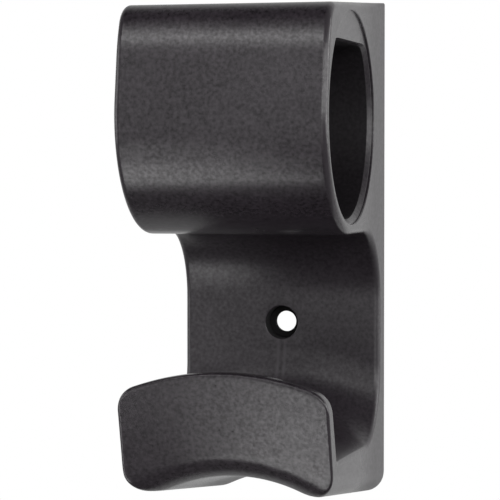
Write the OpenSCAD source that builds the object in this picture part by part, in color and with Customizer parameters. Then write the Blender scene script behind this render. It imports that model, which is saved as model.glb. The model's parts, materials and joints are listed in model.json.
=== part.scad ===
// Wall holder for a round car charging plug, with a saddle for its cable.
// One moulded piece. X runs along the plug socket, Y goes into the wall, Z is up.
// The wall is Y = 0 and the origin is where the fixing screw enters it.

/* [Body] */
// Width along the socket
width = 60; // [52:1:70]
// Height of the socket axis above the screw
bore_z = 60.5; // [54:0.5:68]
// Distance of the socket axis from the wall
bore_y = 46; // [42:0.5:52]
// Moulded wall round the socket
shell = 4.5; // [4:0.1:6]
// Top edge above the wall round the socket, measured at the back
top_over = 2.2; // [1:0.2:7]
// Fall of the top towards the front, degrees
top_fall = 3.6; // [2:0.2:4]
// Backward lean of the front above the socket axis, degrees
front_lean = 8.4; // [5:0.2:12]
// Radius of the upper front corner
brow_r = 10; // [5:0.5:12]
// Radius on the long edges of both ends
edge_r = 1.8; // [1:0.1:2]

/* [Socket] */
// Socket diameter
bore_d = 57; // [54:0.5:58]
// Height of the flat roof above the socket axis
flat_z = 21; // [18:0.5:23]
// Closed end left behind the socket
end_wall = 4.5; // [3:0.5:8]
// Width of the shallow ring round the mouth
ring_step = 1.5; // [1.4:0.1:2]
// Depth of that ring
ring_depth = 0.9; // [0.5:0.1:1.5]
// Lead-in at the mouth
lead_in = 1.1; // [0.5:0.1:1.4]

/* [Neck] */
// Thickness of the neck plate
plate = 7.4; // [6.5:0.1:9]
// Fillet under the block and behind the saddle
fillet_r = 20; // [16:0.5:21]
// Screw hole diameter
screw_d = 6.2; // [4.5:0.1:7]
// Screw head recess diameter
head_d = 9.8; // [8.5:0.1:12]
// Screw head recess depth
head_depth = 5.6; // [4:0.1:5.8]

/* [Saddle] */
// Radius of the saddle that carries the cable
saddle_r = 60; // [56:0.5:64]
// Height of the saddle's axis below the screw
saddle_drop = 86.5; // [84:0.5:90]
// Thickness of the arm under the saddle, at the roll
arm = 13.2; // [11:0.2:15]
// Lip height above the saddle
lip_rise = 17; // [12:0.5:20]
// Reach of the lip's top edge from the wall
lip_reach = 77; // [72:0.5:84]
// Outward lean of the lip's face, degrees
lip_lean = 17; // [10:0.5:20]
// Lip thickness at the top
lip_t = 5; // [4:0.1:6]
// Rounding of the lip's top edge
lip_tip = 1; // [0.6:0.1:1.5]
// Fillet between the saddle and the lip
root_r = 2.4; // [1.5:0.1:4]
// Roll under the lip
roll_r = 11; // [6:0.5:12]
// Radius of the lip's upper corners
lip_corner = 7; // [4:0.5:10]
// Radius of the lower corners
foot_r = 6; // [3:0.5:8]
// Lower end of the piece below the screw, at the wall
foot_z = 51; // [49:0.2:53]
// Rise of the underside and the lower end towards the front, degrees
foot_rise = 6; // [4:0.2:7]

/* [Hidden] */
$fn = 96;
// Rounds are cut this much fuller, so they cross the faces instead of grazing them
skim = 0.02;
// Straight faces start this far inside the rounds that they join
tuck = 0.01;
// Neighbouring rounds run into each other, and arcs are cut a hair deeper, so no two faces nearly coincide
lap = 0.05;
lap_turn = 0.3;
deeper = 0.03;
half = width / 2;
bore_r = bore_d / 2;
ring_r = bore_r + ring_step;
shell_r = bore_r + shell;
top_rise = shell_r + top_over;
// Shapes that join run this far into each other, and cuts this far past the faces that they open
overlap = plate / 4;
// Side section, as [Y, Z]
axis_c = [-bore_y, bore_z];
under_z = bore_z - shell_r;
front_n = [cos(front_lean), -sin(front_lean)];
front_t = [sin(front_lean), cos(front_lean)];
top_n = [sin(top_fall), -cos(top_fall)];
top_p = [0, bore_z + top_rise];
chin_p = axis_c - shell_r * front_n;
brow_s = (brow_r - (chin_p + brow_r * front_n - top_p) * top_n) / (front_t * top_n);
brow_c = chin_p + brow_r * front_n + brow_s * front_t;
brow_top = brow_c - brow_r * top_n;
brow_front = brow_c - brow_r * front_n;
fillet_c = [-plate - fillet_r, under_z - fillet_r];
// Saddle section, as [radius from the saddle axis, distance from the wall]
arm_r = saddle_r - arm;
lip_r = saddle_r + lip_rise;
back_lean = lip_lean + 3;
roll_c = [arm_r + roll_r, lip_reach - (lip_r - arm_r - roll_r) * tan(lip_lean) - roll_r / cos(lip_lean)];
lip_n = [-sin(lip_lean), cos(lip_lean)];
under_n = [-cos(foot_rise), sin(foot_rise)];
back_n = [sin(back_lean), -cos(back_lean)];
roll_p = roll_c + (roll_r - tuck) * lip_n;
roll_q = roll_c + (roll_r - tuck) * under_n;
under_r = roll_q[0] - roll_q[1] * tan(foot_rise);
// The roll takes only the part of its circle between the lip's face and the underside
roll_turn = 135 + (lip_lean - foot_rise) / 2;
roll_half = 45 - (lip_lean + foot_rise) / 2;
tip_r = lip_r - lip_tip;
tip_in = lip_tip - tuck;
tip_front = [tip_r, lip_reach - lip_tip * tan(lip_lean) - lip_tip / cos(lip_lean)];
tip_back = [tip_r, lip_reach - lip_t - lip_tip * tan(back_lean) + lip_tip / cos(back_lean)];
back_top = lip_reach - lip_t;
root_c = [saddle_r + root_r, back_top - (lip_rise - root_r) * tan(back_lean) - root_r / cos(back_lean)];
root_p = root_c - root_r * back_n;
root_corner = [saddle_r, back_top - lip_rise * tan(back_lean)];
seat = plate - skim;
bend_c = [saddle_r + fillet_r, seat + fillet_r];
pad_r = bend_c[0] + overlap;
// Rounded upper corner of the lip, as [X, Z] from the saddle axis
lip_cx = half - lip_corner;
lip_cz = sqrt(pow(lip_r - lip_corner, 2) - pow(lip_cx, 2));
lip_ca = atan2(lip_cz, lip_cx);
// Neck edges fade out where the plate turns into the saddle
fade_z = sqrt(pow(bend_c[0], 2) - pow(half, 2)) - saddle_drop;
fade = 9;
neck_end = fade_z - plate;

// Carries a flat [Y, Z] drawing, extruded along X, into place
module side() {
    rotate([90, 0, 90]) children();
}

// Carries a flat [X, Z] drawing, extruded away from the wall, into place
module front() {
    rotate([90, 0, 0]) children();
}

// What is taken off a square corner to leave a round of radius r
module corner(r) {
    difference() {
        translate([-r, -r]) square(r + overlap);
        translate([-r, -r]) circle(r + skim);
    }
}

// Takes the end corner off along a straight run of the side section from p to q
module round_run(p, q, r) {
    translate([p[0], p[1], half])
        rotate([0, 0, atan2(q[1] - p[1], q[0] - p[0])])
            translate([-lap, 0, 0]) rotate([90, 0, 90])
                linear_extrude(norm(q - p) + 2 * lap) mirror([1, 0]) corner(r);
}

// Takes the end corner off along an arc of the side section; hollow arcs face their centre
module round_arc(c, rad, from, sweep, r, hollow = false) {
    translate([c[0], c[1], half])
        rotate([0, 0, from - lap_turn])
            rotate_extrude(angle = sweep + 2 * lap_turn)
                translate([rad, 0]) mirror([hollow ? 1 : 0, 0]) corner(r + deeper);
}

// Side section of the block and neck
module block_section() {
    intersection() {
        translate(axis_c) circle(shell_r);
        polygon([axis_c + [0, overlap], axis_c - 2 * shell_r * front_n + [0, overlap],
            axis_c + [-2 * shell_r, -2 * shell_r], axis_c + [overlap, -2 * shell_r], axis_c + [overlap, 0]]);
    }
    polygon([top_p, brow_top + tuck * top_n, brow_c, brow_front + tuck * front_n, chin_p + tuck * front_n,
        axis_c, [-bore_y, under_z + tuck], [0, under_z + tuck]]);
    translate(brow_c) circle(brow_r);
    difference() {
        polygon([[0, under_z + overlap], [fillet_c[0], under_z + overlap], [fillet_c[0], under_z],
            fillet_c, [-plate, fillet_c[1]], [0, fillet_c[1]]]);
        translate(fillet_c) circle(fillet_r);
    }
    translate([-plate, neck_end]) square([plate, fillet_c[1] - neck_end]);
}

// Long edges taken off one end of the block and neck
module end_rounds() {
    side() {
        round_run(top_p + overlap * [1, tan(top_fall)], brow_top, edge_r);
        round_arc(brow_c, brow_r, 90 + top_fall, 90 - front_lean - top_fall, edge_r);
        round_run(brow_front, chin_p, edge_r);
        round_arc(axis_c, shell_r, 180 - front_lean, 90 + front_lean, edge_r);
        round_run([-bore_y, under_z], [fillet_c[0], under_z], edge_r);
        round_arc(fillet_c, fillet_r, 0, 90, edge_r, true);
        round_run([-plate, fillet_c[1]], [-plate, fade_z], edge_r);
        translate([-plate, fade_z, half]) rotate([0, 0, -90])
            rotate([0, -fade, -fade])
                rotate([90, 0, 90]) linear_extrude(2 * fillet_r) mirror([1, 0]) corner(edge_r);
    }
}

// Arm, bend, lip and the plate behind them, as a section turned about the saddle's axis
module saddle_section() {
    polygon([[under_r, 0], [pad_r, 0], [pad_r, seat], [saddle_r, seat], root_corner,
        tip_back + tip_in * back_n, tip_back, tip_back + [tip_in, 0], tip_front + [tip_in, 0], tip_front,
        tip_front + tip_in * lip_n, roll_p, roll_q]);
    translate(roll_c) intersection() {
        circle(roll_r);
        rotate(roll_turn) translate([roll_r * cos(roll_half) - overlap, -roll_r]) square(2 * roll_r);
    }
    translate(tip_front) circle(lip_tip);
    translate(tip_back) circle(lip_tip);
    difference() {
        polygon([[saddle_r, seat], [bend_c[0], seat], bend_c, [saddle_r, bend_c[1]]]);
        translate(bend_c) circle(fillet_r);
    }
    difference() {
        polygon([root_c, [saddle_r - overlap, root_c[1]], [saddle_r - overlap, root_corner[1]],
            root_p - overlap * back_n]);
        translate(root_c) circle(root_r + tuck);
    }
}

// Upper corner taken off one side of the lip
module lip_corner_cut() {
    translate([0, overlap - root_c[1], -saddle_drop])
        front() linear_extrude(lip_reach) difference() {
            polygon([[lip_cx, lip_cz], [half + overlap, lip_cz], [half + overlap, lip_r + overlap],
                (lip_r + overlap) * [cos(lip_ca), sin(lip_ca)]]);
            translate([lip_cx, lip_cz]) circle(lip_corner + skim);
        }
}

// Lower corner taken off one side, and the sloping lower end
module foot_cut() {
    translate([0, 0, -foot_z]) rotate([-foot_rise, 0, 0])
        translate([0, plate, 0]) front() linear_extrude(2 * lip_reach) {
            translate([half, 0]) mirror([0, 1]) corner(foot_r);
            translate([-overlap, -2 * foot_z]) square([half + 2 * overlap, 2 * foot_z]);
        }
}

// Plug socket: ring, lead-in and the round bore with its flat roof
module socket() {
    floor_x = half - ring_depth;
    translate([floor_x, -bore_y, bore_z]) rotate([0, 90, 0]) cylinder(r = ring_r, h = ring_depth + overlap);
    translate([0, -bore_y, bore_z]) intersection() {
        translate([end_wall - half, 0, 0]) rotate([0, 90, 0]) cylinder(r = bore_r, h = width);
        translate([-half, -bore_d, -bore_d]) cube([width - ring_depth / 2, 2 * bore_d, bore_d + flat_z]);
    }
    translate([floor_x - lead_in, -bore_y, bore_z]) intersection() {
        rotate([0, 90, 0]) cylinder(r1 = bore_r, r2 = bore_r + lead_in, h = lead_in);
        translate([0, 0, flat_z]) rotate([0, -45, 0])
            translate([-bore_d, -bore_d, -2 * bore_d]) cube([2 * bore_d, 2 * bore_d, 2 * bore_d]);
    }
}

// Fixing screw hole with its head recess
module screw_hole() {
    translate([0, overlap, 0]) front() cylinder(d = screw_d, h = plate + 2 * overlap);
    translate([0, head_depth - plate, 0]) front() cylinder(d = head_d, h = head_depth + overlap);
}

module holder() {
    color([0.17, 0.17, 0.18]) difference() {
        intersection() {
            union() {
                side() translate([0, 0, -width]) linear_extrude(2 * width) block_section();
                translate([0, 0, -saddle_drop]) front() rotate([0, 0, 35])
                    rotate_extrude(angle = 110) saddle_section();
            }
            translate([-half, -2 * lip_reach, -2 * foot_z])
                cube([width, 2 * lip_reach, 2 * foot_z + bore_z + 2 * top_rise]);
        }
        end_rounds();
        mirror([1, 0, 0]) end_rounds();
        lip_corner_cut();
        mirror([1, 0, 0]) lip_corner_cut();
        foot_cut();
        mirror([1, 0, 0]) foot_cut();
        socket();
        screw_hole();
    }
}

holder();
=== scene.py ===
"""Looks of a wall holder for a car charging plug: one charcoal moulding with an eroded grain.

The moulding is one closed skin. Its side section is worked out for every place across the width, and the
two ends, the plug socket and the screw hole are closed onto it.
"""
import json
from math import cos, degrees, radians, sin, sqrt, tan

import bmesh
import bpy
import numpy as np
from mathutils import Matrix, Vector
from mathutils.geometry import tessellate_polygon


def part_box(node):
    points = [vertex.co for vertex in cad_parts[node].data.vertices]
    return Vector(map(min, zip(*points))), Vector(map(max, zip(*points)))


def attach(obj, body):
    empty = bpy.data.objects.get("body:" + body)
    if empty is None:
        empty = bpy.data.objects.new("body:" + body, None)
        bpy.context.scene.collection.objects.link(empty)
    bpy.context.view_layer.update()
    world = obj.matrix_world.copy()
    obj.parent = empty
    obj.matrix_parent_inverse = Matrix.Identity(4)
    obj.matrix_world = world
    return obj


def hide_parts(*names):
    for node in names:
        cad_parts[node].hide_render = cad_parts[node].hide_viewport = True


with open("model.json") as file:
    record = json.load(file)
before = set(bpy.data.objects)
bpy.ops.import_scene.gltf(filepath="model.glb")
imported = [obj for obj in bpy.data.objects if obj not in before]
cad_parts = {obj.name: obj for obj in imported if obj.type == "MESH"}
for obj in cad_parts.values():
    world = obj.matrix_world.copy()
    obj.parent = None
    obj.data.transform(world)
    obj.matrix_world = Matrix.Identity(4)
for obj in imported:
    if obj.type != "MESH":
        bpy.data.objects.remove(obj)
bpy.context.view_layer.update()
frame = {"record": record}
MOUNTS = {mount["name"]: mount for mount in frame["record"]["mounts"]}

# Sizes of the moulding in metres, with angles in radians
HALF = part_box("holder")[1].x
TOP_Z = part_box("holder")[1].z
SOCKET_Y, SOCKET_Z = MOUNTS["plug_socket"]["pos_m"][1:]
SCREW_R = MOUNTS["screw_hole"]["dims"]["r_mm"] / 1000
SHELL_R = 0.033
TOP_FALL = radians(3.6)
FRONT_LEAN = radians(8.4)
BROW_R = 0.0082
EASE_R = 0.040
EASE = radians(14)
REAR_SHARE = 0.15
SOCKET_R = 0.0285
FLAT_RISE = 0.021
END_WALL = 0.0045
PLATE = 0.0074
FILLET_R = 0.020
HEAD_R = 0.0049
HEAD_DEPTH = 0.0056
SADDLE_R = 0.060
SADDLE_DROP = 0.0865
ARM = 0.0132
LIP_RISE = 0.017
LIP_REACH = 0.077
LIP_LEAN = radians(17)
BACK_LEAN = radians(20)
LIP_T = 0.005
TIP_R = 0.001
ROOT_R = 0.0024
ROLL_R = 0.011
LIP_CORNER = 0.007
FOOT_R = 0.006
FOOT_Z = 0.051
FOOT_RISE = radians(6)

# Socket: the ring at its mouth, the straight lead-in (less at the roof), the easing of the roof's corners,
# and the round at the end wall. The shares place rings along the lead-in and across the end wall.
RING_R = 0.030
RING_DEPTH = 0.0007
RING_FILLET = 0.0001
LEAD_IN = 0.0012
LEAD_DEPTH = 0.0012
LEAD_SHARES = (0, 0.06, 0.5, 0.92, 1)
LEAD_SUPPORT = 0.0001
ROOF_LEAD = 0.0005
ROOF_EASE = 0.0035
ROOF_SINE = 0.2
BASE_ROUND = 0.0011
BASE_SHARES = (0.6, 0.2)

# Roundings of the moulding's edges: block and neck, lip, hook, the edges at the wall, and the holes' rims.
# The lower front corner is blended, and eased in passes that leave a margin of rows at each end.
BLOCK_EDGE = 0.0018
LIP_EDGE = 0.0009
FOOT_EDGE = 0.0006
WALL_EDGE = 0.0004
RIM_EDGE = 0.0004
CORNER_R = 0.0008
FOOT_BLEND = 0.0012
FOOT_PASSES = 16
FOOT_MARGIN = 4
FLAT_EPS = 1e-6

# Mesh density: places across the width, steps round each end's edge, round and along the socket and down the
# screw hole's window, the half sizes of that window, and the angles of a quarter round
PLACES = 81
EDGE_STEPS = 7
SOCKET_STEPS = 160
SOCKET_ROWS = 8
WINDOW_STEPS = 18
WINDOW_X = 0.008
WINDOW_Z = 0.008
QUARTER = np.radians(90) * np.arange(5) / 4

# Plastic: colours of pits, lands and worn edges, the painted shade laid into the hollows, and sizes of the
# grain, of its clouds and its bump
PIT = (0.004, 0.0033, 0.004, 1)
LAND = (0.047, 0.0385, 0.047, 1)
WORN = (0.040, 0.035, 0.040, 1)
HOLLOW_SHADE = (0.0058, 0.005, 0.0058, 1)
GRAIN_SCALE = 980.0
GRAIN_DETAIL = 2.0
CLOUD_SCALE = 45.0
CLOUD_DETAIL = 3.0
CLOUD_SPAN = (0.3, 0.7)
BUMP_HEIGHT = 0.00009

# Values on the front and on the neck, with the y at which each is full, and low and high values in the clouds
DEPTH_SPAN = (-0.035, -0.015)
GRAIN_SHADE = (1.25, 0.8)
GRAIN_ROUGH = (-0.06, -0.05)
GRAIN_GLINT = (0.55, 0.4)
ROUGHNESS = (0.25, 0.35)
BUMP = (0.2, 0.14)
CLOUD_SHADE = (0.44, 0.56)
CLOUD_ROUGH = (-0.015, 0.02)
CLOUD_GLINT = (0.46, 0.54)

# Hollows, where shade is painted in: the rings of the screw hole and of the socket's mouth that keep the
# outer surface, how much of the painted shade the socket takes (the screw hole takes all of it), and the
# roughness and glint of a shaded hollow, which dim its reflections as well
RIM_RINGS = 3
MOUTH_RINGS = 15
SOCKET_SHADE = 0.55
HOLLOW_ROUGH = 0.75
HOLLOW_GLINT = 0.22

# Flow lines: half their distance apart, their half width, where they fade upwards (z) and forwards (y), and
# their shade and glint
FLOW_HALF = 0.0010
FLOW_WIDE = (0.0, 0.0008)
FLOW_TOP = (-0.004, -0.002)
FLOW_FRONT = (-0.0105, -0.0140)
FLOW_SHADE = 0.75
FLOW_GLINT = 0.61

# Brightness of the room from the front (0) over the sides (0.5) to the back (1)
ROOM = ((0.0, 0.9), (0.04, 0.87), (0.08, 0.4), (0.13, 0.05), (0.5, 0.05), (0.65, 0.35), (0.8, 0.72))

# Where the soft boxes look, and each box: name, azimuth, height, distance, size and brightness
LIGHT_AIM = Vector((0, -0.04, 0.02))
SOFT_BOXES = (
    ("upper", -14.5, 38.5, 0.365, (0.28, 0.05), 4.6),
    ("front", -30, -31, 0.55, (0.24, 0.22), 1.8),
    ("lower", -34, -49, 0.42, (0.15, 0.15), 3.2),
    ("left", -70, 5, 0.9, (0.6, 0.6), 2.0),
    ("right", 45, 14, 0.9, (1.1, 0.3), 3.6),
    ("side", 102, 8, 0.9, (0.8, 0.4), 3.0),
)

# Floor: height, radius and corners, the shares of the radius between which it turns white for the camera, its
# shade and roughness, and the y over which its bounce goes from dim in front to pale behind
FLOOR_Z = -0.40
FLOOR_R = 0.9
FLOOR_CORNERS = 96
FLOOR_FADE = (0.5, 0.95)
FLOOR_SHADE = (0.85, 0.85, 0.85, 1)
FLOOR_ROUGH = 0.8
BOUNCE_SPAN = (0.03, 0.16)
BOUNCE = (0.15, 0.85)

# Camera: place and direction in metres, lens and sensor in millimetres
CAMERA_PLACE = Vector((0.1655, -0.6789, 0.0455))
CAMERA_AIM = Vector((-0.25249, 0.96699, -0.03433))
CAMERA_LENS = 165.75
CAMERA_SENSOR = 36.0

# Points of the side section, as (y, z), and its angles in degrees where the top, ease and front begin
TOP_TURN = 90 + degrees(TOP_FALL)
EASE_TURN = 180 - degrees(FRONT_LEAN + EASE)
FRONT_TURN = 180 - degrees(FRONT_LEAN)
under_z = SOCKET_Z - SHELL_R
front_out = np.array((-cos(FRONT_LEAN), sin(FRONT_LEAN)))
front_up = np.array((sin(FRONT_LEAN), cos(FRONT_LEAN)))
top_out = np.array((-sin(TOP_FALL), cos(TOP_FALL)))
socket_c = np.array((SOCKET_Y, SOCKET_Z))
chin = socket_c + SHELL_R * front_out
ease_out = np.array((-cos(FRONT_LEAN + EASE), sin(FRONT_LEAN + EASE)))
brow_base = chin - EASE_R * front_out + (EASE_R - BROW_R) * ease_out
brow_run = (-BROW_R - (brow_base - (0, TOP_Z)) @ top_out) / (front_up @ top_out)
brow_c = brow_base + brow_run * front_up
ease_c = brow_c - (EASE_R - BROW_R) * ease_out
fillet_c = np.array((-PLATE - FILLET_R, under_z - FILLET_R))
back_c = np.array((-CORNER_R, TOP_Z - CORNER_R * (1 + sin(TOP_FALL)) / cos(TOP_FALL)))
top_rear = back_c + CORNER_R * top_out
top_front = brow_c + BROW_R * top_out
top_mid = top_rear + (top_front - top_rear) * REAR_SHARE

# Points of the hook's section, as (distance from the saddle's axis, distance from the wall)
ARM_R = SADDLE_R - ARM
LIP_R = SADDLE_R + LIP_RISE
bend_c = (SADDLE_R + FILLET_R, PLATE + FILLET_R)
roll_c = (ARM_R + ROLL_R, LIP_REACH - (LIP_R - ARM_R - ROLL_R) * tan(LIP_LEAN) - ROLL_R / cos(LIP_LEAN))
root_c = (SADDLE_R + ROOT_R,
          LIP_REACH - LIP_T - (LIP_RISE - ROOT_R) * tan(BACK_LEAN) - ROOT_R / cos(BACK_LEAN))
corner_x = HALF - LIP_CORNER
corner_z = sqrt((LIP_R - LIP_CORNER) ** 2 - corner_x ** 2)


def across(p, q, t):
    """Straight run: the point that lies the share t of the way from p to q, for each coordinate."""
    return tuple(a + (b - a) * t for a, b in zip(p, q))


def round_run(centre, radius, start, end):
    """Section run round a centre: y and z are the centre plus radius times cosine and sine of the angle."""
    def run(t, x):
        angle = radians(start) + radians(end - start) * t
        return centre[0] + radius * np.cos(angle) + 0 * x, centre[1] + radius * np.sin(angle) + 0 * x
    return run


def straight_run(p, q):
    """Section run straight from p to q, the same at every place across the width."""
    def run(t, x):
        y, z = across(p, q, t)
        return y + 0 * x, z + 0 * x
    return run


def turned(reach, depth, x):
    """Carries a point of the hook's section round the saddle's axis: height is the root of reach squared
    less x squared, measured from the axis, and y is minus the distance from the wall."""
    return 0 * x - depth, np.sqrt(reach ** 2 - x ** 2) - SADDLE_DROP


def lip_top(x):
    """Reach of the lip's top edge: a circle about the saddle's axis, and a small circle round each corner."""
    past = np.clip(np.abs(x) - corner_x, 0, LIP_CORNER)
    in_corner = np.abs(x) > corner_x * LIP_R / (LIP_R - LIP_CORNER)
    height = corner_z + np.sqrt(LIP_CORNER ** 2 - past ** 2)
    return np.where(in_corner, np.hypot(x, height), LIP_R)


def lip_front(reach):
    """Distance of the lip's front face from the wall: it leans out as it rises."""
    return LIP_REACH - (LIP_R - reach) * tan(LIP_LEAN)


def lip_back(reach):
    """Distance of the lip's back face from the wall."""
    return LIP_REACH - LIP_T - (LIP_R - reach) * tan(BACK_LEAN)


def tip_centres(x):
    """Centres of the two small rounds on the lip's top edge, back and front."""
    reach = lip_top(x) - TIP_R
    return ((reach, lip_back(reach) + TIP_R / cos(BACK_LEAN)),
            (reach, lip_front(reach) - TIP_R / cos(LIP_LEAN)))


def neck(t, x):
    """Flat of the neck, from the fillet under the block down to the start of the bend."""
    low = np.sqrt(bend_c[0] ** 2 - x ** 2) - SADDLE_DROP
    return -PLATE + 0 * x, fillet_c[1] + (low - fillet_c[1]) * t


def bend(t, x):
    """Hollow quarter turn from the neck to the saddle."""
    angle = radians(90) * t
    return turned(bend_c[0] - FILLET_R * np.sin(angle), bend_c[1] - FILLET_R * np.cos(angle), x)


def saddle(t, x):
    """Bearing face of the saddle, from the bend to the foot of the lip."""
    return turned(SADDLE_R, bend_c[1] + (root_c[1] - bend_c[1]) * t, x)


def root(t, x):
    """Hollow turn from the saddle up the back of the lip."""
    angle = (radians(90) - BACK_LEAN) * t
    return turned(root_c[0] - ROOT_R * np.cos(angle), root_c[1] + ROOT_R * np.sin(angle), x)


def lip_inside(t, x):
    """Back face of the lip, straight up to its top edge."""
    low = (root_c[0] - ROOT_R * sin(BACK_LEAN), root_c[1] + ROOT_R * cos(BACK_LEAN))
    reach, depth = tip_centres(x)[0]
    high = (reach + TIP_R * sin(BACK_LEAN), depth - TIP_R * cos(BACK_LEAN))
    return turned(*across(low, high, t), x)


def tip_inside(t, x):
    """Small round at the back of the lip's top edge."""
    angle = BACK_LEAN + (radians(90) - BACK_LEAN) * t
    reach, depth = tip_centres(x)[0]
    return turned(reach + TIP_R * np.sin(angle), depth - TIP_R * np.cos(angle), x)


def tip_flat(t, x):
    """Flat of the lip's top edge."""
    inside, outside = tip_centres(x)
    reach, depth = across(inside, outside, t)
    return turned(reach + TIP_R, depth, x)


def tip_outside(t, x):
    """Small round at the front of the lip's top edge."""
    angle = (radians(90) + LIP_LEAN) * t
    reach, depth = tip_centres(x)[1]
    return turned(reach + TIP_R * np.cos(angle), depth + TIP_R * np.sin(angle), x)


def foot_limit(depth, x):
    """Lowest z of the moulding: a plane that rises to the front, with a round up each side."""
    past = np.clip(np.abs(x) - (HALF - FOOT_R), 0, FOOT_R)
    return depth * tan(FOOT_RISE) - FOOT_Z + FOOT_R - np.sqrt(FOOT_R ** 2 - past ** 2)


def above_foot(y, z, x):
    """Softly keeps z above the foot: the larger of the two, eased over a short blend where they meet."""
    low = foot_limit(-y, x)
    mix = np.clip(0.5 + 0.5 * (z - low) / FOOT_BLEND, 0, 1)
    return y, low + (z - low) * mix + FOOT_BLEND * mix * (1 - mix)


def lip_outside(t, x):
    """Front face of the lip, from its top edge down to the roll."""
    reach, depth = tip_centres(x)[1]
    high = (reach - TIP_R * sin(LIP_LEAN), depth + TIP_R * cos(LIP_LEAN))
    low = (roll_c[0] - ROLL_R * sin(LIP_LEAN), roll_c[1] + ROLL_R * cos(LIP_LEAN))
    return above_foot(*turned(*across(high, low, t), x), x)


def roll(t, x):
    """Round under the lip, from its front face to the underside."""
    angle = radians(90) + LIP_LEAN + (radians(90) - FOOT_RISE - LIP_LEAN) * t
    return above_foot(*turned(roll_c[0] + ROLL_R * np.cos(angle), roll_c[1] + ROLL_R * np.sin(angle), x), x)


def underside(t, x):
    """Arched underside, which falls towards the wall."""
    front_depth = roll_c[1] + ROLL_R * sin(FOOT_RISE)
    depth = front_depth + (CORNER_R - front_depth) * t
    reach = roll_c[0] - ROLL_R * cos(FOOT_RISE) - (front_depth - depth) * tan(FOOT_RISE)
    return above_foot(*turned(reach, depth, x), x)


def lower_corner(t, x):
    """Small round from the underside up to the wall face."""
    y, z = underside(np.ones_like(t), x)
    angle = radians(90) * t
    return y + CORNER_R * np.sin(angle), z + CORNER_R * (1 - np.cos(angle))


def wall_low(t, x):
    """Wall face below the screw hole."""
    z = lower_corner(np.ones_like(t), x)[1]
    return 0 * x, z + (-WINDOW_Z - z) * t


# Runs of the closed section, in order: steps, edge rounding at its start and end, and the run itself
RUNS = {
    "top_corner": (6, WALL_EDGE, WALL_EDGE, round_run(back_c, CORNER_R, 0, TOP_TURN)),
    "top_rear": (6, WALL_EDGE, BLOCK_EDGE, straight_run(top_rear, top_mid)),
    "top": (14, BLOCK_EDGE, BLOCK_EDGE, straight_run(top_mid, top_front)),
    "brow": (18, BLOCK_EDGE, BLOCK_EDGE, round_run(brow_c, BROW_R, TOP_TURN, EASE_TURN)),
    "ease": (16, BLOCK_EDGE, BLOCK_EDGE, round_run(ease_c, EASE_R, EASE_TURN, FRONT_TURN)),
    "front": (8, BLOCK_EDGE, BLOCK_EDGE, straight_run(ease_c + EASE_R * front_out, chin)),
    "shell": (40, BLOCK_EDGE, BLOCK_EDGE, round_run(socket_c, SHELL_R, FRONT_TURN, 270)),
    "under": (6, BLOCK_EDGE, BLOCK_EDGE, straight_run((SOCKET_Y, under_z), (fillet_c[0], under_z))),
    "fillet": (24, BLOCK_EDGE, BLOCK_EDGE, round_run(fillet_c, FILLET_R, 90, 0)),
    "neck": (WINDOW_STEPS, BLOCK_EDGE, BLOCK_EDGE, neck),
    "bend": (24, BLOCK_EDGE, FOOT_EDGE, bend),
    "saddle": (12, FOOT_EDGE, FOOT_EDGE, saddle),
    "root": (8, FOOT_EDGE, FOOT_EDGE, root),
    "lip_inside": (20, FOOT_EDGE, LIP_EDGE, lip_inside),
    "tip_inside": (6, LIP_EDGE, LIP_EDGE, tip_inside),
    "tip_flat": (4, LIP_EDGE, LIP_EDGE, tip_flat),
    "tip_outside": (8, LIP_EDGE, LIP_EDGE, tip_outside),
    "lip_outside": (44, LIP_EDGE, FOOT_EDGE, lip_outside),
    "roll": (40, FOOT_EDGE, FOOT_EDGE, roll),
    "underside": (24, FOOT_EDGE, WALL_EDGE, underside),
    "lower_corner": (5, WALL_EDGE, WALL_EDGE, lower_corner),
    "wall_low": (10, WALL_EDGE, WALL_EDGE, wall_low),
    "wall_window": (WINDOW_STEPS, WALL_EDGE, WALL_EDGE, straight_run((0, -WINDOW_Z), (0, WINDOW_Z))),
    "wall_high": (16, WALL_EDGE, WALL_EDGE, straight_run((0, WINDOW_Z), (0, back_c[1]))),
}
FIRST_ROW = dict(zip(RUNS, np.cumsum([0] + [run[0] for run in RUNS.values()])))


def skin_grid():
    """The closed section at every place across the width, as a grid of points.
    Across the width x follows a sine, so places crowd towards the ends, where corners turn. Past them the
    section is drawn in along its own normal by the edge rounding, so each end's edge is a quarter round.
    The lower front corner is eased first: each point moves halfway to the middle of its neighbours."""
    steps = [run[0] for run in RUNS.values()]
    edge = np.concatenate([np.linspace(run[1], run[2], run[0], endpoint=False)
                           for run in RUNS.values()])[:, None]
    turn = np.radians(90) * np.arange(1, EDGE_STEPS + 1) / EDGE_STEPS
    core = np.sin(np.linspace(-1, 1, PLACES) * np.radians(90))
    turns = np.concatenate([-turn[::-1], 0 * core, turn])
    x = np.concatenate([0 * turn - 1, core, 0 * turn + 1]) * (HALF - edge) + edge * np.sin(turns)
    ends = np.cumsum([0] + steps)
    y, z = (np.concatenate(part) for part in zip(*(
        run[3]((np.arange(run[0]) / run[0])[:, None], x[a:b])
        for run, a, b in zip(RUNS.values(), ends, ends[1:]))))
    lower = slice(FIRST_ROW["lip_outside"] + FOOT_MARGIN, FIRST_ROW["lower_corner"] - FOOT_MARGIN)
    for _ in range(FOOT_PASSES):
        for part in (y, z):
            near = (np.roll(part, 1, 0) + np.roll(part, -1, 0)) / 2
            part[lower] = (part[lower] + near[lower]) / 2
    dy = np.roll(y, -1, 0) - np.roll(y, 1, 0)
    dz = np.roll(z, -1, 0) - np.roll(z, 1, 0)
    inset = edge * (1 - np.cos(turns)) / np.hypot(dy, dz)
    points = np.stack([x, y - inset * dz, z + inset * dy], -1)
    return points, np.sin(2 * np.abs(turns)) * np.ones_like(edge)


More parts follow.
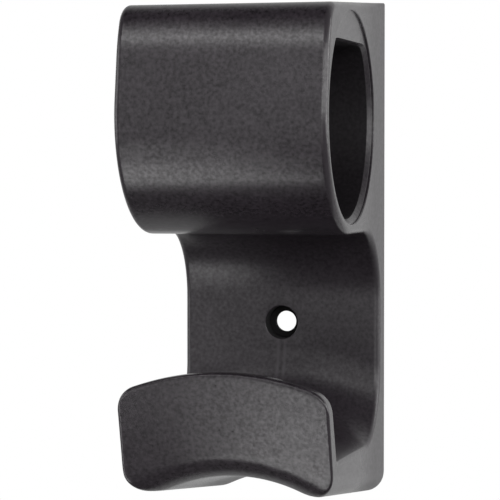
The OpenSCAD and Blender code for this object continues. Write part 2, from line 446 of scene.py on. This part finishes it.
def socket_outline(radius, rise, angle):
    """Distance of the socket's wall from its axis: a circle under a flat roof, with the two corners eased."""
    roof = rise / np.maximum(np.sin(angle), ROOF_SINE)
    mix = np.clip(0.5 + 0.5 * (roof - radius) / ROOF_EASE, 0, 1)
    return roof + (radius - roof) * mix - ROOF_EASE * mix * (1 - mix)


def socket_rings():
    """Rings of the socket from its mouth to the middle of its end wall: each is the outline at one depth."""
    angle = np.radians(360) * np.arange(SOCKET_STEPS) / SOCKET_STEPS
    floor = HALF - RING_DEPTH
    end = END_WALL - HALF
    no_roof = 2 * SOCKET_R
    rings = [(RING_R + RIM_EDGE * (1 - sin(a)), no_roof, HALF - RIM_EDGE * (1 - cos(a))) for a in QUARTER]
    rings += [(RING_R - RING_FILLET * (1 - cos(a)), no_roof, floor + RING_FILLET * (1 - sin(a)))
              for a in QUARTER]
    rings += [(SOCKET_R + LEAD_IN + RING_FILLET, FLAT_RISE + ROOF_LEAD + RING_FILLET, floor)]
    rings += [(SOCKET_R + LEAD_IN * (1 - share), FLAT_RISE + ROOF_LEAD * (1 - share),
               floor - LEAD_DEPTH * share) for share in LEAD_SHARES]
    rings += [(SOCKET_R, FLAT_RISE, x)
              for x in np.linspace(floor - LEAD_DEPTH - LEAD_SUPPORT, end + BASE_ROUND, SOCKET_ROWS)]
    rings += [(SOCKET_R - BASE_ROUND * (1 - cos(a)), FLAT_RISE - BASE_ROUND * (1 - cos(a)),
               end + BASE_ROUND * (1 - sin(a))) for a in QUARTER[1:]]
    rings += [(SOCKET_R * share, FLAT_RISE * share, end) for share in BASE_SHARES]
    out = []
    for radius, rise, x in rings:
        reach = socket_outline(radius, rise, angle)
        out.append(np.stack([0 * angle + x, SOCKET_Y + reach * np.cos(angle),
                             SOCKET_Z + reach * np.sin(angle)], -1))
    return np.array(out)


def screw_rings(angle):
    """Rings of the screw hole from the neck to the wall: rim, head recess, its floor and the clear hole."""
    floor = HEAD_DEPTH - PLATE
    rings = [(HEAD_R + RIM_EDGE * (1 - sin(a)), -PLATE + RIM_EDGE * (1 - cos(a))) for a in QUARTER]
    rings += [(HEAD_R, floor - RIM_EDGE)]
    rings += [(HEAD_R - RIM_EDGE * (1 - cos(a)), floor - RIM_EDGE * (1 - sin(a))) for a in QUARTER[1:]]
    rings += [(SCREW_R + RIM_EDGE * (1 - sin(a)), floor + RIM_EDGE * (1 - cos(a))) for a in QUARTER]
    rings += [(SCREW_R + RIM_EDGE * (1 - cos(a)), -RIM_EDGE * (1 - sin(a))) for a in QUARTER]
    return np.array([np.stack([r * np.cos(angle), 0 * angle + y, r * np.sin(angle)], -1) for r, y in rings])


def strip(first, second):
    """Four-sided faces between two closed loops of as many vertex numbers."""
    return np.stack([first, np.roll(first, -1), np.roll(second, -1), second], -1)


def window(index, run, columns, upward):
    """Vertex numbers round the opening that is left in a flat run, clockwise as seen from the front."""
    low, high = FIRST_ROW[run], FIRST_ROW[run] + RUNS[run][0]
    top, bottom = (high, low) if upward else (low, high)
    left, right = columns
    down = np.arange(top, bottom, -1 if upward else 1)
    return np.concatenate([index[top, left:right], index[down, right],
                           index[bottom, right:left:-1], index[down[::-1] + (-1 if upward else 1), left]])


def moulding_mesh():
    """The moulding's closed skin: the section grid, its two ends, the plug socket and the screw hole."""
    points, wear = skin_grid()
    rows, places = points.shape[:2]
    index = np.arange(rows * places).reshape(rows, places)
    columns = np.flatnonzero(np.abs(points[FIRST_ROW["neck"], :, 0]) < WINDOW_X)[[0, -1]]
    below = np.roll(index, -1, 0)
    quads = np.stack([index[:, :-1], below[:, :-1], below[:, 1:], index[:, 1:]], -1)
    keep = np.ones((rows, places - 1), bool)
    for run in ("neck", "wall_window"):
        keep[FIRST_ROW[run]:FIRST_ROW[run] + RUNS[run][0], columns[0]:columns[1]] = False
    faces = [quads[keep]]

    front = window(index, "neck", columns, False)
    back = window(index, "wall_window", columns, True)
    flat = points.reshape(-1, 3)
    holes = screw_rings(np.arctan2(flat[front, 2], flat[front, 0]))
    socket = socket_rings()
    hole_index = rows * places + np.arange(holes[..., 0].size).reshape(holes.shape[:2])
    socket_index = hole_index.max() + 1 + np.arange(socket[..., 0].size).reshape(socket.shape[:2])
    middle = socket_index.max() + 1
    loops = [front, *hole_index, back]
    faces += [strip(a, b) for a, b in zip(loops, loops[1:])]
    faces += [strip(a, b) for a, b in zip(socket_index, socket_index[1:])]
    fan = np.stack([socket_index[-1], np.roll(socket_index[-1], -1), 0 * socket_index[-1] + middle], -1)

    vertices = np.concatenate([flat, holes.reshape(-1, 3), socket.reshape(-1, 3),
                               [(END_WALL - HALF, SOCKET_Y, SOCKET_Z)]])
    ends = []
    for outline in ([index[:, 0]], [index[:, -1], socket_index[0]]):
        loop = np.concatenate(outline)
        flats = [[Vector((y, z, 0)) for _, y, z in vertices[part]] for part in outline]
        ends.append(loop[np.array(tessellate_polygon(flats))])

    mesh = bpy.data.meshes.new("moulding")
    mesh.from_pydata(vertices.tolist(), [], [face for part in [*faces, fan, *ends] for face in part.tolist()])
    rub = mesh.attributes.new("edge", "FLOAT", "POINT")
    edge = np.zeros(len(vertices), np.float32)
    edge[:rows * places] = wear.ravel()
    rub.data.foreach_set("value", edge)
    # Painted shade: the recess share darkens and dulls the inside of the screw hole and of the socket
    hollow_shade = mesh.attributes.new("recess", "FLOAT", "POINT")
    recess = np.zeros(len(vertices), np.float32)
    recess[hole_index[RIM_RINGS:]] = 1
    recess[socket_index[MOUTH_RINGS:]] = SOCKET_SHADE
    recess[middle] = SOCKET_SHADE
    hollow_shade.data.foreach_set("value", recess)
    tidy = bmesh.new()
    tidy.from_mesh(mesh)
    bmesh.ops.delete(tidy, geom=[point for point in tidy.verts if not point.link_faces], context="VERTS")
    flats = [face for face in tidy.faces if min(abs(point.co.x) for point in face.verts) > HALF - FLAT_EPS]
    inner = {line for face in flats for line in face.edges if all(one in flats for one in line.link_faces)}
    bmesh.ops.beautify_fill(tidy, faces=flats, edges=list(inner))
    bmesh.ops.recalc_face_normals(tidy, faces=tidy.faces)
    for face in tidy.faces:
        face.smooth = min(abs(point.co.x) for point in face.verts) < HALF - FLAT_EPS
    tidy.to_mesh(mesh)
    tidy.free()
    return mesh


def node(tree, kind, place, **inputs):
    """A shader node of one kind, with its plain input values set by name."""
    made = tree.nodes.new(kind)
    made.location = place
    for name, value in inputs.items():
        made.inputs[name.replace("_", " ")].default_value = value
    return made


def blend(tree, place, value, other, share):
    """Value that runs from one, where the share is 0, to another, where it is 1."""
    made = node(tree, "ShaderNodeMix", place, B=other)
    tree.links.new(share, made.inputs["Factor"])
    tree.links.new(value, made.inputs["A"])
    return made.outputs["Result"]


def flow_line(tree, part):
    """Share of the two faint upright lines where the flow closed below the screw hole. It is one in the
    middle of each line and fades across it, upwards in the hole, and forwards on the bend."""
    side = part.outputs["X"]
    for column in range(2):
        fold = node(tree, "ShaderNodeMath", (-1500 + 300 * column, 1200))
        fold.operation = "SUBTRACT"
        fold.inputs[1].default_value = FLOW_HALF * column
        away = node(tree, "ShaderNodeMath", (-1350 + 300 * column, 1200))
        away.operation = "ABSOLUTE"
        tree.links.new(side, fold.inputs[0])
        tree.links.new(fold.outputs[0], away.inputs[0])
        side = away.outputs[0]
    spans = ((side, FLOW_WIDE), (part.outputs["Z"], FLOW_TOP), (part.outputs["Y"], FLOW_FRONT))
    fades = []
    for row, (source, (full, none)) in enumerate(spans):
        fade = node(tree, "ShaderNodeMapRange", (-900, 1200 + 300 * row), From_Min=full, From_Max=none,
                    To_Min=1.0, To_Max=0.0)
        tree.links.new(source, fade.inputs["Value"])
        fades.append(fade.outputs["Result"])
    for row, fade in enumerate(fades[1:]):
        both = node(tree, "ShaderNodeMath", (-600, 1200 + 300 * row))
        both.operation = "MULTIPLY"
        tree.links.new(fades[0], both.inputs[0])
        tree.links.new(fade, both.inputs[1])
        fades[0] = both.outputs[0]
    return fades[0]


def grained_plastic():
    """Charcoal moulding compound: dull dark pits between glossier lands, in slow clouds of shade and gloss.

    The grain is full on the block and the lip and fades towards the wall, where the tool was smoother. Edges
    are worn paler, and shade is painted into the hollows: they are made darker, rougher and glint less.
    """
    plastic = bpy.data.materials.new("charcoal_moulding")
    plastic.use_nodes = True
    tree = plastic.node_tree
    shader = tree.nodes["Principled BSDF"]
    where = node(tree, "ShaderNodeTexCoord", (-1500, 0))
    noise = node(tree, "ShaderNodeTexNoise", (-1200, -300), Scale=GRAIN_SCALE, Detail=GRAIN_DETAIL)
    cloud = node(tree, "ShaderNodeTexNoise", (-1200, 300), Scale=CLOUD_SCALE, Detail=CLOUD_DETAIL)
    for one in (noise, cloud):
        tree.links.new(where.outputs["Object"], one.inputs["Vector"])
    part = node(tree, "ShaderNodeSeparateXYZ", (-1200, -600))
    tree.links.new(where.outputs["Object"], part.inputs[0])
    grain = node(tree, "ShaderNodeMapRange", (-900, -300), To_Min=-0.5, To_Max=0.5)
    tree.links.new(noise.outputs["Fac"], grain.inputs["Value"])

    def ranged(place, source, span, ends):
        """Value that runs between two ends while its source runs over a span."""
        made = node(tree, "ShaderNodeMapRange", place, From_Min=span[0], From_Max=span[1],
                    To_Min=ends[0], To_Max=ends[1])
        tree.links.new(source, made.inputs["Value"])
        return made.outputs["Result"]

    def by_depth(place, ends):
        """Value that runs from the first end, on the block and the lip, to the second, on the neck."""
        return ranged(place, part.outputs["Y"], DEPTH_SPAN, ends)

    def by_cloud(place, ends):
        """Value that wanders slowly between two ends."""
        return ranged(place, cloud.outputs["Fac"], CLOUD_SPAN, ends)

    def grained(place, times, plus):
        """The grain times one value plus another."""
        made = node(tree, "ShaderNodeMath", place)
        made.operation = "MULTIPLY_ADD"
        tree.links.new(grain.outputs["Result"], made.inputs[0])
        tree.links.new(times, made.inputs[1])
        tree.links.new(plus, made.inputs[2])
        return made.outputs[0]

    def painted(place, under, share, colour):
        """Colour that runs from the one under it to its own where the share is 1."""
        made = node(tree, "ShaderNodeMix", place)
        made.data_type = "RGBA"
        made.inputs["B"].default_value = colour
        tree.links.new(share, made.inputs["Factor"])
        tree.links.new(under, made.inputs["A"])
        return made.outputs["Result"]

    def share_of(place, name):
        """Share that the mesh gives each point under a name."""
        made = node(tree, "ShaderNodeAttribute", place)
        made.attribute_name = name
        return made.outputs["Fac"]

    flow = flow_line(tree, part)
    # Painted shade: by the recess share the hollows take a near-black colour, more roughness and less glint
    hollow_shade = share_of((0, 900), "recess")
    shade = grained((-300, 600), by_depth((-600, 600), GRAIN_SHADE), by_cloud((-600, 900), CLOUD_SHADE))
    tint = node(tree, "ShaderNodeValToRGB", (0, 600))
    tint.color_ramp.elements[0].color = PIT
    tint.color_ramp.elements[1].color = LAND
    tree.links.new(blend(tree, (-150, 750), shade, FLOW_SHADE, flow), tint.inputs["Fac"])
    worn = painted((300, 300), tint.outputs["Color"], share_of((0, 300), "edge"), WORN)
    tree.links.new(painted((600, 300), worn, hollow_shade, HOLLOW_SHADE), shader.inputs["Base Color"])

    gloss = node(tree, "ShaderNodeMath", (-300, 0))
    tree.links.new(by_depth((-600, 0), ROUGHNESS), gloss.inputs[0])
    tree.links.new(by_cloud((-600, 300), CLOUD_ROUGH), gloss.inputs[1])
    dull = grained((0, 0), by_depth((-300, -300), GRAIN_ROUGH), gloss.outputs[0])
    tree.links.new(blend(tree, (300, 0), dull, HOLLOW_ROUGH, hollow_shade), shader.inputs["Roughness"])
    glint = grained((0, -600), by_depth((-300, -900), GRAIN_GLINT), by_cloud((-300, -1200), CLOUD_GLINT))
    glint = blend(tree, (150, -600), glint, FLOW_GLINT, flow)
    glint = blend(tree, (300, -600), glint, HOLLOW_GLINT, hollow_shade)
    tree.links.new(glint, shader.inputs["Specular IOR Level"])
    bump = node(tree, "ShaderNodeBump", (0, -300), Distance=BUMP_HEIGHT)
    tree.links.new(by_depth((-300, -600), BUMP), bump.inputs["Strength"])
    tree.links.new(noise.outputs["Fac"], bump.inputs["Height"])
    tree.links.new(bump.outputs["Normal"], shader.inputs["Normal"])
    return plastic


def studio_world():
    """White for the camera. For light it follows ROOM: bright straight in front, dim round the sides and
    bright again behind."""
    world = bpy.data.worlds.new("studio")
    bpy.context.scene.world = world
    world.use_nodes = True
    tree = world.node_tree
    tree.nodes.clear()
    out = node(tree, "ShaderNodeOutputWorld", (600, 0))
    seen = node(tree, "ShaderNodeBackground", (200, 100), Color=(1, 1, 1, 1), Strength=1.0)
    light = node(tree, "ShaderNodeBackground", (200, -100), Color=(1, 1, 1, 1))
    where = node(tree, "ShaderNodeTexCoord", (-600, -100))
    part = node(tree, "ShaderNodeSeparateXYZ", (-400, -100))
    depth = node(tree, "ShaderNodeMapRange", (-200, -100), From_Min=-1.0, From_Max=1.0)
    level = node(tree, "ShaderNodeValToRGB", (0, -100))
    ramp = level.color_ramp.elements
    for place, _ in ROOM[1:-1]:
        ramp.new(place)
    for one, (place, shade) in zip(ramp, ROOM):
        one.position = place
        one.color = (shade, shade, shade, 1)
    tree.links.new(where.outputs["Generated"], part.inputs[0])
    tree.links.new(part.outputs["Y"], depth.inputs["Value"])
    tree.links.new(depth.outputs["Result"], level.inputs["Fac"])
    tree.links.new(level.outputs["Color"], light.inputs["Strength"])
    path = node(tree, "ShaderNodeLightPath", (-400, 300))
    either = node(tree, "ShaderNodeMath", (-100, 300))
    either.operation = "MAXIMUM"
    tree.links.new(path.outputs["Is Camera Ray"], either.inputs[0])
    tree.links.new(path.outputs["Is Transmission Ray"], either.inputs[1])
    mix = node(tree, "ShaderNodeMixShader", (400, 0))
    tree.links.new(either.outputs[0], mix.inputs["Fac"])
    tree.links.new(light.outputs[0], mix.inputs[1])
    tree.links.new(seen.outputs[0], mix.inputs[2])
    tree.links.new(mix.outputs[0], out.inputs["Surface"])


def pale_floor():
    """Round pale floor below the holder: a circle of corners at one height.
    For the camera it shows the shadow in its middle and turns white towards its rim. What it throws back at
    the holder is dim from in front and pale from behind."""
    angle = np.radians(360) * np.arange(FLOOR_CORNERS) / FLOOR_CORNERS
    rim = np.stack([FLOOR_R * np.cos(angle), FLOOR_R * np.sin(angle), 0 * angle + FLOOR_Z], -1)
    mesh = bpy.data.meshes.new("floor")
    mesh.from_pydata(rim.tolist(), [], [list(range(FLOOR_CORNERS))])
    made = bpy.data.materials.new("pale_floor")
    made.use_nodes = True
    tree = made.node_tree
    shader = tree.nodes["Principled BSDF"]
    shader.inputs["Base Color"].default_value = FLOOR_SHADE
    shader.inputs["Roughness"].default_value = FLOOR_ROUGH
    where = node(tree, "ShaderNodeTexCoord", (-900, 300))
    far = node(tree, "ShaderNodeVectorMath", (-700, 300))
    far.operation = "LENGTH"
    tree.links.new(where.outputs["Object"], far.inputs[0])
    fade = node(tree, "ShaderNodeMapRange", (-500, 300), From_Min=FLOOR_R * FLOOR_FADE[0],
                From_Max=FLOOR_R * FLOOR_FADE[1])
    fade.interpolation_type = "SMOOTHSTEP"
    tree.links.new(far.outputs["Value"], fade.inputs["Value"])
    path = node(tree, "ShaderNodeLightPath", (-700, 600))
    seen = node(tree, "ShaderNodeMath", (-300, 400))
    seen.operation = "MULTIPLY"
    tree.links.new(path.outputs["Is Camera Ray"], seen.inputs[0])
    tree.links.new(fade.outputs["Result"], seen.inputs[1])
    white = node(tree, "ShaderNodeEmission", (0, -200), Color=(1, 1, 1, 1), Strength=1.0)
    mix = node(tree, "ShaderNodeMixShader", (300, 200))
    part = node(tree, "ShaderNodeSeparateXYZ", (-700, 0))
    tree.links.new(where.outputs["Object"], part.inputs[0])
    behind = node(tree, "ShaderNodeMapRange", (-500, 0), From_Min=BOUNCE_SPAN[0], From_Max=BOUNCE_SPAN[1],
                  To_Min=BOUNCE[0], To_Max=BOUNCE[1])
    tree.links.new(part.outputs["Y"], behind.inputs["Value"])
    grey = node(tree, "ShaderNodeBsdfDiffuse", (0, 300))
    tree.links.new(behind.outputs["Result"], grey.inputs["Color"])
    bounce = node(tree, "ShaderNodeMixShader", (150, 400))
    tree.links.new(path.outputs["Is Camera Ray"], bounce.inputs["Fac"])
    tree.links.new(grey.outputs[0], bounce.inputs[1])
    tree.links.new(shader.outputs[0], bounce.inputs[2])
    tree.links.new(seen.outputs[0], mix.inputs["Fac"])
    tree.links.new(bounce.outputs[0], mix.inputs[1])
    tree.links.new(white.outputs[0], mix.inputs[2])
    tree.links.new(mix.outputs[0], tree.nodes["Material Output"].inputs["Surface"])
    mesh.materials.append(made)
    floor = bpy.data.objects.new("floor", mesh)
    bpy.context.scene.collection.objects.link(floor)


def soft_box(name, azimuth, height, far, size, level):
    """A soft box turned to the holder: azimuth from the front towards the right and height above the level,
    in degrees, its distance and size in metres, and how bright its face is (1 is white)."""
    side, up = radians(azimuth), radians(height)
    away = Vector((sin(side) * cos(up), -cos(side) * cos(up), sin(up)))
    data = bpy.data.lights.new(name, "AREA")
    data.shape = "RECTANGLE"
    data.size, data.size_y = size
    data.energy = level * size[0] * size[1] * np.pi
    lamp = bpy.data.objects.new(name, data)
    lamp.location = LIGHT_AIM + far * away
    lamp.rotation_euler = (-away).to_track_quat("-Z", "Y").to_euler()
    lamp.visible_camera = False
    bpy.context.scene.collection.objects.link(lamp)


def photo_camera():
    """The camera at the photograph's place."""
    data = bpy.data.cameras.new("camera")
    data.lens = CAMERA_LENS
    data.sensor_width = CAMERA_SENSOR
    camera = bpy.data.objects.new("camera", data)
    camera.location = CAMERA_PLACE
    camera.rotation_euler = CAMERA_AIM.to_track_quat("-Z", "Y").to_euler()
    bpy.context.scene.collection.objects.link(camera)
    bpy.context.scene.camera = camera


bpy.context.scene.view_settings.view_transform = "Standard"
photo_camera()
studio_world()
pale_floor()
for box in SOFT_BOXES:
    soft_box(*box)
holder = bpy.data.objects.new("holder_moulding", moulding_mesh())
bpy.context.scene.collection.objects.link(holder)
holder.data.materials.append(grained_plastic())
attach(holder, "root")
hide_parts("holder")
